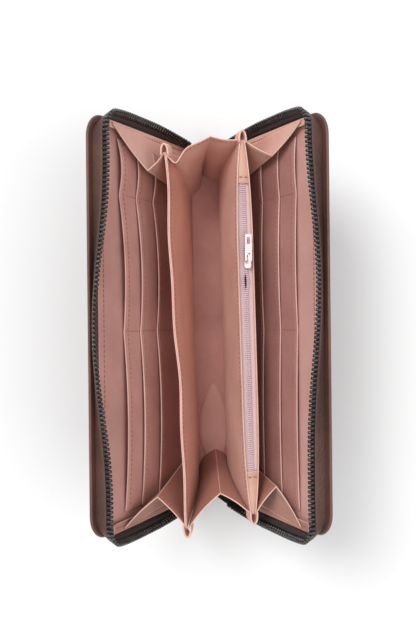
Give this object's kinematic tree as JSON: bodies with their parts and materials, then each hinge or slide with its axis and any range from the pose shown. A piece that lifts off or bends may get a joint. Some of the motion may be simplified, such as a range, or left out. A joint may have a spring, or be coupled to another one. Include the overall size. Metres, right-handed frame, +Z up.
{
  "type": "zip around wallet",
  "caption": "Long wallet standing open on its spine: two zip-edged covers with card pockets, a divider, a zipped coin pocket and folding gussets.",
  "frame": {"origin": "middle of the spine's outer face, on the surface the wallet stands on", "axes": "+X across the wallet from one cover to the other, +Y along the spine, +Z up towards the open mouth"},
  "size_m": [0.1086, 0.1975, 0.0908],
  "materials": {
    "case_leather": "fine-grained brown leather, satin",
    "stiffener": "bonded fibre board",
    "gunmetal": "dark nickel plating",
    "zip_tape": "woven polyester tape",
    "coin_tape": "woven polyester tape",
    "coil": "nylon coil",
    "bag_cloth": "thin woven lining",
    "tan_leather": "thin tan leather",
    "pale_metal": "pale pink enamel",
    "lining_leather": "smooth dusty-pink lining leather"
  },
  "bodies": {
    "spine": {"spine_leather": "case_leather", "spine_lining": "lining_leather", "zip_end_tab_top": "case_leather", "zip_end_tab_bottom": "case_leather"},
    "cover_left": {"cover_leather_left": "case_leather", "cover_board_left": "stiffener", "lining_panel_left": "lining_leather", "card_pocket_left_1": "lining_leather", "card_pocket_left_2": "lining_leather", "card_pocket_left_3": "lining_leather", "side_wall_left": "case_leather", "zip_tape_left": "zip_tape", "zip_teeth_left": "gunmetal", "zip_stops_left": "gunmetal"},
    "cover_right": {"cover_leather_right": "case_leather", "cover_board_right": "stiffener", "lining_panel_right": "lining_leather", "card_pocket_right_1": "lining_leather", "card_pocket_right_2": "lining_leather", "card_pocket_right_3": "lining_leather", "side_wall_right": "case_leather", "zip_tape_right": "zip_tape", "zip_teeth_right": "gunmetal", "zip_stops_right": "gunmetal"},
    "divider_left": {"divider_left_front": "lining_leather", "divider_left_back": "lining_leather", "rim_tabs_left": "lining_leather"},
    "divider_right": {"coin_wall_front": "lining_leather", "coin_wall_back": "lining_leather", "coin_bag": "bag_cloth", "coin_tape_front": "coin_tape", "coin_tape_back": "coin_tape", "coin_coil_front": "coil", "coin_coil_back": "coil", "coin_zip_ends": "tan_leather", "rim_tabs_right": "lining_leather"},
    "coin_slider": {"coin_slider": "pale_metal"},
    "coin_pull": {"coin_pull": "pale_metal"},
    "zip_slider": {"zip_slider": "gunmetal"},
    "zip_pull": {"zip_pull": "gunmetal"},
    "gusset_side_left_cover_top": {"gusset_side_left_cover_top": "lining_leather"},
    "gusset_side_left_divider_top": {"gusset_side_left_divider_top": "lining_leather"},
    "gusset_centre_left_top": {"gusset_centre_left_top": "lining_leather"},
    "gusset_centre_right_top": {"gusset_centre_right_top": "lining_leather"},
    "gusset_side_right_divider_top": {"gusset_side_right_divider_top": "lining_leather"},
    "gusset_side_right_cover_top": {"gusset_side_right_cover_top": "lining_leather"},
    "gusset_side_left_cover_bottom": {"gusset_side_left_cover_bottom": "lining_leather"},
    "gusset_side_left_divider_bottom": {"gusset_side_left_divider_bottom": "lining_leather"},
    "gusset_centre_left_bottom": {"gusset_centre_left_bottom": "lining_leather"},
    "gusset_centre_right_bottom": {"gusset_centre_right_bottom": "lining_leather"},
    "gusset_side_right_divider_bottom": {"gusset_side_right_divider_bottom": "lining_leather"},
    "gusset_side_right_cover_bottom": {"gusset_side_right_cover_bottom": "lining_leather"}
  },
  "joints": [
    {"name": "cover_left_fold", "type": "hinge", "parent": "spine", "child": "cover_left", "pos_m": [-0.0095, 0, 0.003], "axis": [0, -1, 0], "range_deg": [-27, 8], "deforming": ["rim_tabs_left", "rim_tabs_right"]},
    {"name": "cover_right_fold", "type": "hinge", "parent": "spine", "child": "cover_right", "pos_m": [0.0095, 0, 0.003], "axis": [0, 1, 0], "range_deg": [-27, 8]},
    {"name": "divider_left_fold", "type": "hinge", "parent": "spine", "child": "divider_left", "pos_m": [-0.0052, 0, 0.003], "axis": [0, -1, 0], "range_deg": [-12.13, 3.6]},
    {"name": "divider_right_fold", "type": "hinge", "parent": "spine", "child": "divider_right", "pos_m": [0.0052, 0, 0.003], "axis": [0, 1, 0], "range_deg": [-15.51, 4.6]},
    {"name": "gusset_side_left_cover_top_fold", "type": "hinge", "parent": "cover_left", "child": "gusset_side_left_cover_top", "pos_m": [-0.01305, 0.0904, 0.0169], "axis": [-0.454, 0, 0.891], "range_deg": [-22.97, 6.82]},
    {"name": "gusset_side_left_divider_top_fold", "type": "hinge", "parent": "divider_left", "child": "gusset_side_left_divider_top", "pos_m": [-0.00856, 0.0904, 0.01662], "axis": [0.1805, 0, -0.9836], "range_deg": [-22.97, 6.82]},
    {"name": "gusset_centre_left_top_fold", "type": "hinge", "parent": "divider_left", "child": "gusset_centre_left_top", "pos_m": [-0.00689, 0.0904, 0.01692], "axis": [-0.1805, 0, 0.9836], "range_deg": [-40.52, 12.02]},
    {"name": "gusset_centre_right_top_fold", "type": "hinge", "parent": "divider_right", "child": "gusset_centre_right_top", "pos_m": [0.00702, 0.0904, 0.01694], "axis": [-0.1959, 0, -0.9806], "range_deg": [-40.52, 12.02]},
    {"name": "gusset_side_right_divider_top_fold", "type": "hinge", "parent": "divider_right", "child": "gusset_side_right_divider_top", "pos_m": [0.00944, 0.0904, 0.0164], "axis": [0.2368, 0, 0.9715], "range_deg": [-18.65, 5.54]},
    {"name": "gusset_side_right_cover_top_fold", "type": "hinge", "parent": "cover_right", "child": "gusset_side_right_cover_top", "pos_m": [0.01305, 0.0904, 0.0169], "axis": [-0.454, 0, -0.891], "range_deg": [-18.65, 5.54]},
    {"name": "gusset_side_left_cover_bottom_fold", "type": "hinge", "parent": "cover_left", "child": "gusset_side_left_cover_bottom", "pos_m": [-0.01305, -0.0904, 0.0169], "axis": [0.454, 0, -0.891], "range_deg": [-22.97, 6.82]},
    {"name": "gusset_side_left_divider_bottom_fold", "type": "hinge", "parent": "divider_left", "child": "gusset_side_left_divider_bottom", "pos_m": [-0.00856, -0.0904, 0.01662], "axis": [-0.1805, 0, 0.9836], "range_deg": [-22.97, 6.82]},
    {"name": "gusset_centre_left_bottom_fold", "type": "hinge", "parent": "divider_left", "child": "gusset_centre_left_bottom", "pos_m": [-0.00689, -0.0904, 0.01692], "axis": [0.1805, 0, -0.9836], "range_deg": [-40.52, 12.02]},
    {"name": "gusset_centre_right_bottom_fold", "type": "hinge", "parent": "divider_right", "child": "gusset_centre_right_bottom", "pos_m": [0.00702, -0.0904, 0.01694], "axis": [0.1959, 0, 0.9806], "range_deg": [-40.52, 12.02]},
    {"name": "gusset_side_right_divider_bottom_fold", "type": "hinge", "parent": "divider_right", "child": "gusset_side_right_divider_bottom", "pos_m": [0.00944, -0.0904, 0.0164], "axis": [-0.2368, 0, -0.9715], "range_deg": [-18.65, 5.54]},
    {"name": "gusset_side_right_cover_bottom_fold", "type": "hinge", "parent": "cover_right", "child": "gusset_side_right_cover_bottom", "pos_m": [0.01305, -0.0904, 0.0169], "axis": [0.454, 0, 0.891], "range_deg": [-18.65, 5.54]},
    {"name": "zip_slide", "type": "slide", "parent": "spine", "child": "zip_slider", "axis": [0, 0, 1], "range_m": [0, 0.004]},
    {"name": "zip_pull_swing", "type": "hinge", "parent": "zip_slider", "child": "zip_pull", "pos_m": [0, 0.09795, 0.0115], "axis": [1, 0, 0], "range_deg": [0, 170]},
    {"name": "coin_zip_slide", "type": "slide", "parent": "divider_right", "child": "coin_slider", "axis": [0, 1, 0], "range_m": [-0.098, 0.036]},
    {"name": "coin_pull_swing", "type": "hinge", "parent": "coin_slider", "child": "coin_pull", "pos_m": [0.01914, 0.031, 0.06587], "axis": [0.9763, 0, -0.2164], "range_deg": [0, 170]}
  ],
  "couplings": [
    {"joint": "cover_right_fold", "follows": "cover_left_fold", "ratio": 1},
    {"joint": "divider_left_fold", "follows": "cover_left_fold", "ratio": 0.449},
    {"joint": "divider_right_fold", "follows": "cover_left_fold", "ratio": 0.574},
    {"joint": "gusset_side_left_cover_top_fold", "follows": "cover_left_fold", "ratio": 0.85},
    {"joint": "gusset_side_left_divider_top_fold", "follows": "cover_left_fold", "ratio": 0.85},
    {"joint": "gusset_centre_left_top_fold", "follows": "cover_left_fold", "ratio": 1.5},
    {"joint": "gusset_centre_right_top_fold", "follows": "cover_left_fold", "ratio": 1.5},
    {"joint": "gusset_side_right_divider_top_fold", "follows": "cover_left_fold", "ratio": 0.69},
    {"joint": "gusset_side_right_cover_top_fold", "follows": "cover_left_fold", "ratio": 0.69},
    {"joint": "gusset_side_left_cover_bottom_fold", "follows": "cover_left_fold", "ratio": 0.85},
    {"joint": "gusset_side_left_divider_bottom_fold", "follows": "cover_left_fold", "ratio": 0.85},
    {"joint": "gusset_centre_left_bottom_fold", "follows": "cover_left_fold", "ratio": 1.5},
    {"joint": "gusset_centre_right_bottom_fold", "follows": "cover_left_fold", "ratio": 1.5},
    {"joint": "gusset_side_right_divider_bottom_fold", "follows": "cover_left_fold", "ratio": 0.69},
    {"joint": "gusset_side_right_cover_bottom_fold", "follows": "cover_left_fold", "ratio": 0.69}
  ]
}
